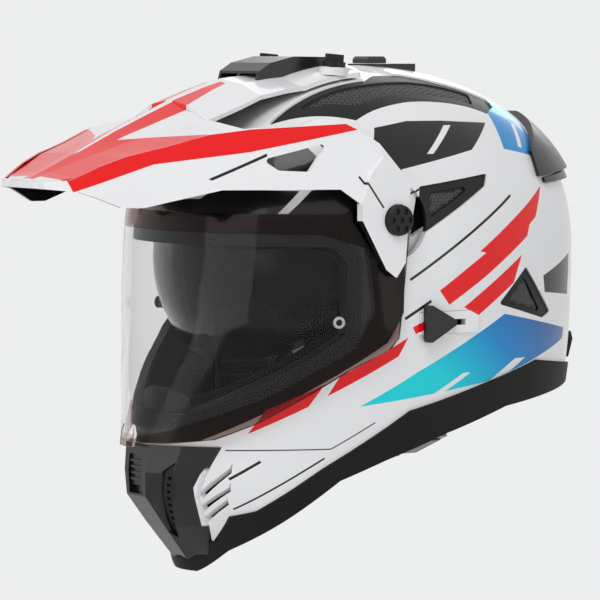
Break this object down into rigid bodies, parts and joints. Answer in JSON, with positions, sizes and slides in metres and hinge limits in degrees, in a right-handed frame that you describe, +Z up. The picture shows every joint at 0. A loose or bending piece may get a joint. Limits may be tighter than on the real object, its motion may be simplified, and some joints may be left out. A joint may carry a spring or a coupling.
{
  "type": "dual sport helmet",
  "caption": "Full-face dual sport helmet with an adjustable peak, a hinged clear visor, a drop-down sun visor, sliding vents, padded lining and a buckled chin strap.",
  "frame": {"origin": "the middle of the wearer's head, on the level of the visor pivots", "axes": "+Z up, -Y the front of the helmet, +X the wearer's left"},
  "size_m": [0.2618, 0.4175, 0.3377],
  "materials": {
    "shell": "gloss white lacquer with red, black and blue panels",
    "prow": "black lacquer with a white side panel",
    "vent": "satin black",
    "mesh": "fine black mesh",
    "trim": "satin black",
    "rubber": "matt black",
    "screw": "plain",
    "visor": "clear with a light smoke tint",
    "peak": "gloss white lacquer with red panels over black",
    "sun": "dark smoke",
    "inner": "plain",
    "foam": "fine beaded foam, dark grey",
    "cloth": "knitted lining",
    "webbing": "woven polyester",
    "buckle": "satin",
    "tongue": "black, moulded"
  },
  "bodies": {
    "helmet": {"outer_shell": "shell", "crown_vent_left": "vent", "crown_vent_right": "vent", "crown_mesh_left": "mesh", "crown_mesh_right": "mesh", "side_vent_left": "vent", "side_vent_right": "vent", "side_mesh_left": "mesh", "side_mesh_right": "mesh", "rear_vent_left": "vent", "rear_vent_right": "vent", "rear_mesh_left": "mesh", "rear_mesh_right": "mesh", "eyeport_gasket": "rubber", "chin_guard": "prow", "chin_mesh_left": "mesh", "chin_mesh_right": "mesh", "lower_trim": "rubber", "visor_base_left": "trim", "visor_base_right": "trim", "plate_screws": "screw", "top_vent_base": "trim", "sun_visor_pins": "inner", "slider_track": "trim", "foam_liner": "foam", "chin_foam": "foam", "breath_deflector": "rubber", "crown_pad": "cloth", "cheek_pad_left": "cloth", "cheek_pad_right": "cloth", "neck_roll": "cloth", "rear_spoiler": "trim", "rear_exhaust": "trim", "goggle_clip": "rubber", "strap_left": "webbing", "strap_right": "webbing", "strap_rivets": "screw", "buckle_body": "buckle", "strap_tongue": "tongue"},
    "visor": {"visor": "visor", "visor_pins": "trim"},
    "peak": {"peak": "peak", "top_scoop": "trim"},
    "knob_left": {"side_knob_left": "trim"},
    "knob_right": {"side_knob_right": "trim"},
    "screw_left": {"top_screw_left": "trim"},
    "screw_right": {"top_screw_right": "trim"},
    "sun_visor": {"sun_visor": "sun"},
    "sun_slider": {"sun_slider": "trim"},
    "crown_vent_slide": {"top_vent_slider": "trim"},
    "chin_vent_slide": {"chin_vent_shutter": "trim"},
    "buckle_lever": {"buckle_lever": "tongue"}
  },
  "joints": [
    {"name": "visor_hinge", "type": "hinge", "parent": "helmet", "child": "visor", "pos_m": [0, -0.03795, 0], "axis": [-1, 0, 0], "range_deg": [0, 38]},
    {"name": "peak_tilt", "type": "hinge", "parent": "helmet", "child": "peak", "pos_m": [0, -0.03795, 0], "axis": [-1, 0, 0], "range_deg": [-3, 3]},
    {"name": "knob_left_turn", "type": "hinge", "parent": "helmet", "child": "knob_left", "pos_m": [0.12, -0.03795, 0], "axis": [1, 0, 0], "continuous": true},
    {"name": "knob_right_turn", "type": "hinge", "parent": "helmet", "child": "knob_right", "pos_m": [-0.12, -0.03795, 0], "axis": [-1, 0, 0], "continuous": true},
    {"name": "screw_left_turn", "type": "hinge", "parent": "helmet", "child": "screw_left", "pos_m": [0.04, -0.03, 0.09088], "axis": [0, 0.0871, 0.9962], "continuous": true},
    {"name": "screw_right_turn", "type": "hinge", "parent": "helmet", "child": "screw_right", "pos_m": [-0.04, -0.03, 0.09088], "axis": [0, 0.0871, 0.9962], "continuous": true},
    {"name": "sun_slider_slide", "type": "slide", "parent": "helmet", "child": "sun_slider", "axis": [0, 1, 0], "range_m": [0, 0.018]},
    {"name": "sun_visor_hinge", "type": "hinge", "parent": "helmet", "child": "sun_visor", "pos_m": [0, -0.02, -0.02995], "axis": [-1, 0, 0], "range_deg": [0, 50]},
    {"name": "crown_vent_slide", "type": "slide", "parent": "helmet", "child": "crown_vent_slide", "axis": [0, 1, 0], "range_m": [0, 0.01]},
    {"name": "chin_vent_slide", "type": "slide", "parent": "helmet", "child": "chin_vent_slide", "axis": [0, 0, -1], "range_m": [0, 0.005]},
    {"name": "buckle_lever_hinge", "type": "hinge", "parent": "helmet", "child": "buckle_lever", "pos_m": [0.07126, 0.02197, -0.14884], "axis": [0, 1, 0], "range_deg": [-50, 0], "stiffness_Nm_per_rad": 0.02}
  ],
  "couplings": [
    {"joint": "sun_visor_hinge", "follows": "sun_slider_slide", "rad_per_m": 48.48}
  ]
}
